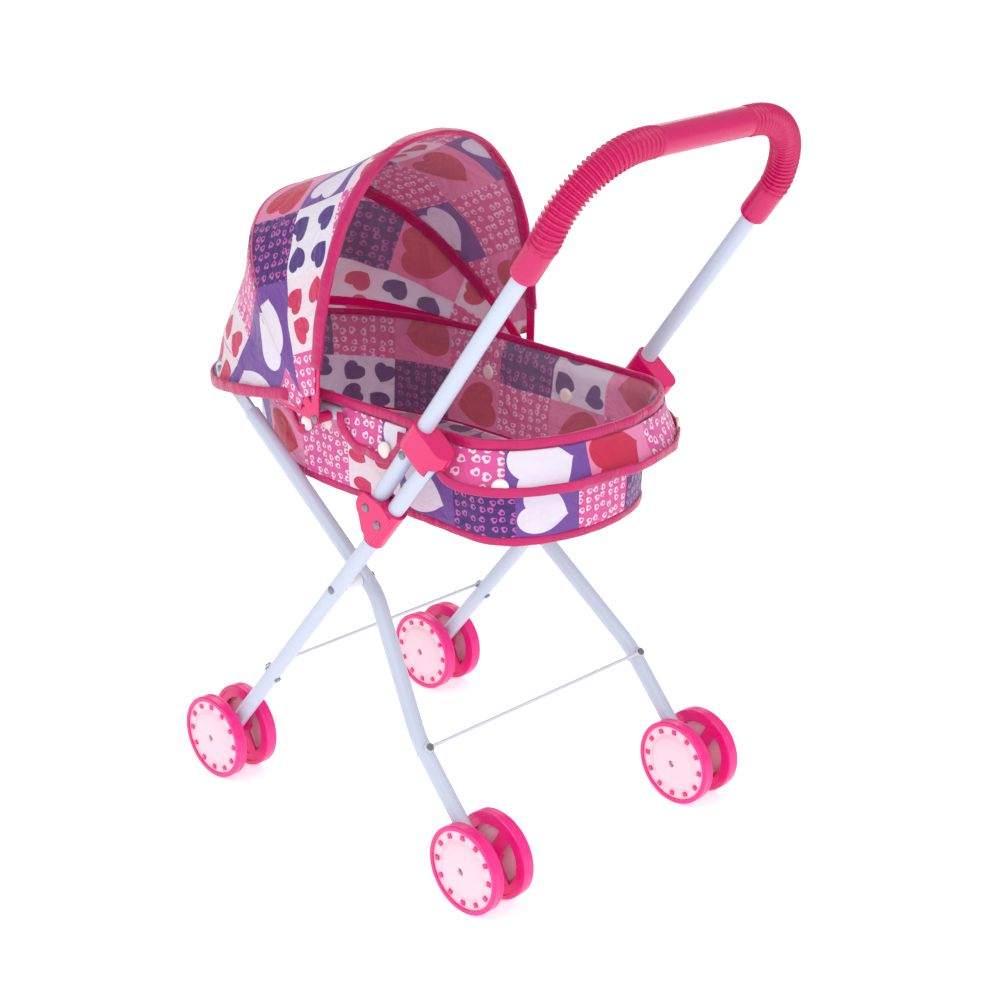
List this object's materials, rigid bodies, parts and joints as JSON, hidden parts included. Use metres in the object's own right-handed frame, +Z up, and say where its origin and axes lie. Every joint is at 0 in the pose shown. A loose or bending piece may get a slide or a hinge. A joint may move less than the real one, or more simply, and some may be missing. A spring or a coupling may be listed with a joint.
{
  "type": "doll stroller",
  "caption": "Folding toy stroller with crossed tube legs, an arched push handle and an oval cloth carrycot under a folding hood.",
  "frame": {"origin": "centre of the overall bounding box at floor level, where the wheels stand", "axes": "+Z up, +X towards the person who pushes, +Y to the stroller's right hand side seen from the handle facing the hood"},
  "size_m": [0.5247, 0.3078, 0.6426],
  "materials": {
    "tube_white": "smooth white powder coat",
    "wire_white": "white powder coat",
    "axle_steel": "drawn steel rod",
    "rivet_grey": "grey plated rivets",
    "spacer_white": "white moulded plastic",
    "pink_plastic": "glossy hot pink moulding",
    "grip_pink": "soft ribbed hot pink grip",
    "wheel_pink": "satin pink moulding",
    "cap_pale": "pale pink moulding",
    "cloth_print": "printed patchwork of heart squares on thin polyester",
    "binding_pink": "satin bias binding",
    "snap_ivory": "ivory press stud caps",
    "base_card": "stiffening board inside the cloth"
  },
  "bodies": {
    "front_frame": {"front_leg_left": "tube_white", "front_leg_right": "tube_white", "front_cross_wire": "wire_white", "front_axle_left": "axle_steel", "front_axle_right": "axle_steel", "lower_bracket_left": "pink_plastic", "lower_bracket_right": "pink_plastic", "frame_rivets": "rivet_grey", "pivot_pins": "rivet_grey", "crossing_spacers": "spacer_white"},
    "rear_legs": {"rear_leg_left": "tube_white", "rear_leg_right": "tube_white", "rear_cross_wire": "wire_white", "rear_axle_left": "axle_steel", "rear_axle_right": "axle_steel", "rear_rivets": "rivet_grey", "head_pins": "rivet_grey"},
    "push_handle": {"handle_side_left": "tube_white", "handle_side_right": "tube_white", "handle_bow": "tube_white", "handle_grip": "grip_pink", "cot_screws": "rivet_grey", "cot_spacers": "spacer_white"},
    "lock_left": {"lock_left": "pink_plastic"},
    "lock_right": {"lock_right": "pink_plastic"},
    "carrycot": {"cot_ring": "tube_white", "cot_liner": "cloth_print", "base_board": "base_card", "valance_foot": "cloth_print", "valance_left_side": "cloth_print", "valance_right_side": "cloth_print", "valance_left_head": "cloth_print", "valance_right_head": "cloth_print", "snap_caps": "snap_ivory", "hood_rivets": "rivet_grey", "hood_spacers": "pink_plastic", "bow_rear": "pink_plastic", "canopy_rear": "cloth_print", "hood_hem": "binding_pink"},
    "hood_mid": {"bow_mid": "pink_plastic", "canopy_front": "cloth_print"},
    "hood_front": {"bow_front": "pink_plastic"},
    "wheel_front_left_outer": {"rim_front_left_outer": "wheel_pink", "cap_front_left_outer": "cap_pale"},
    "wheel_front_left_inner": {"rim_front_left_inner": "wheel_pink", "cap_front_left_inner": "cap_pale"},
    "wheel_front_right_inner": {"rim_front_right_inner": "wheel_pink", "cap_front_right_inner": "cap_pale"},
    "wheel_front_right_outer": {"rim_front_right_outer": "wheel_pink", "cap_front_right_outer": "cap_pale"},
    "wheel_rear_left_outer": {"rim_rear_left_outer": "wheel_pink", "cap_rear_left_outer": "cap_pale"},
    "wheel_rear_left_inner": {"rim_rear_left_inner": "wheel_pink", "cap_rear_left_inner": "cap_pale"},
    "wheel_rear_right_inner": {"rim_rear_right_inner": "wheel_pink", "cap_rear_right_inner": "cap_pale"},
    "wheel_rear_right_outer": {"rim_rear_right_outer": "wheel_pink", "cap_rear_right_outer": "cap_pale"}
  },
  "joints": [
    {"name": "handle_fold", "type": "hinge", "parent": "front_frame", "child": "push_handle", "pos_m": [0.03265, 0, 0.3165], "axis": [0, -1, 0], "range_deg": [0, 110]},
    {"name": "rear_leg_fold", "type": "hinge", "parent": "front_frame", "child": "rear_legs", "pos_m": [-0.01735, 0, 0.228], "axis": [0, -1, 0], "range_deg": [0, 57]},
    {"name": "cot_fold", "type": "hinge", "parent": "push_handle", "child": "carrycot", "pos_m": [0.07342, 0, 0.371], "axis": [0, -1, 0], "range_deg": [-69, 0]},
    {"name": "hood_mid_fold", "type": "hinge", "parent": "carrycot", "child": "hood_mid", "pos_m": [-0.04335, 0, 0.3695], "axis": [0, -1, 0], "range_deg": [0, 29]},
    {"name": "hood_front_fold", "type": "hinge", "parent": "hood_mid", "child": "hood_front", "pos_m": [-0.04335, 0, 0.3695], "axis": [0, -1, 0], "range_deg": [0, 40]},
    {"name": "lock_left_slide", "type": "slide", "parent": "push_handle", "child": "lock_left", "axis": [0.599, 0, 0.8007], "range_m": [0, 0.03]},
    {"name": "lock_right_slide", "type": "slide", "parent": "push_handle", "child": "lock_right", "axis": [0.599, 0, 0.8007], "range_m": [0, 0.03]},
    {"name": "wheel_front_left_outer_spin", "type": "hinge", "parent": "front_frame", "child": "wheel_front_left_outer", "pos_m": [-0.17335, -0.1465, 0.0385], "axis": [0, 1, 0], "continuous": true},
    {"name": "wheel_front_left_inner_spin", "type": "hinge", "parent": "front_frame", "child": "wheel_front_left_inner", "pos_m": [-0.17335, -0.1125, 0.0385], "axis": [0, 1, 0], "continuous": true},
    {"name": "wheel_front_right_inner_spin", "type": "hinge", "parent": "front_frame", "child": "wheel_front_right_inner", "pos_m": [-0.17335, 0.1125, 0.0385], "axis": [0, 1, 0], "continuous": true},
    {"name": "wheel_front_right_outer_spin", "type": "hinge", "parent": "front_frame", "child": "wheel_front_right_outer", "pos_m": [-0.17335, 0.1465, 0.0385], "axis": [0, 1, 0], "continuous": true},
    {"name": "wheel_rear_left_outer_spin", "type": "hinge", "parent": "rear_legs", "child": "wheel_rear_left_outer", "pos_m": [0.15365, -0.1465, 0.0385], "axis": [0, 1, 0], "continuous": true},
    {"name": "wheel_rear_left_inner_spin", "type": "hinge", "parent": "rear_legs", "child": "wheel_rear_left_inner", "pos_m": [0.15365, -0.1125, 0.0385], "axis": [0, 1, 0], "continuous": true},
    {"name": "wheel_rear_right_inner_spin", "type": "hinge", "parent": "rear_legs", "child": "wheel_rear_right_inner", "pos_m": [0.15365, 0.1125, 0.0385], "axis": [0, 1, 0], "continuous": true},
    {"name": "wheel_rear_right_outer_spin", "type": "hinge", "parent": "rear_legs", "child": "wheel_rear_right_outer", "pos_m": [0.15365, 0.1465, 0.0385], "axis": [0, 1, 0], "continuous": true}
  ],
  "couplings": [
    {"joint": "rear_leg_fold", "follows": "handle_fold", "ratio": 0.5121},
    {"joint": "cot_fold", "follows": "handle_fold", "ratio": -0.6224},
    {"joint": "hood_front_fold", "follows": "hood_mid_fold", "ratio": 1.3793}
  ]
}
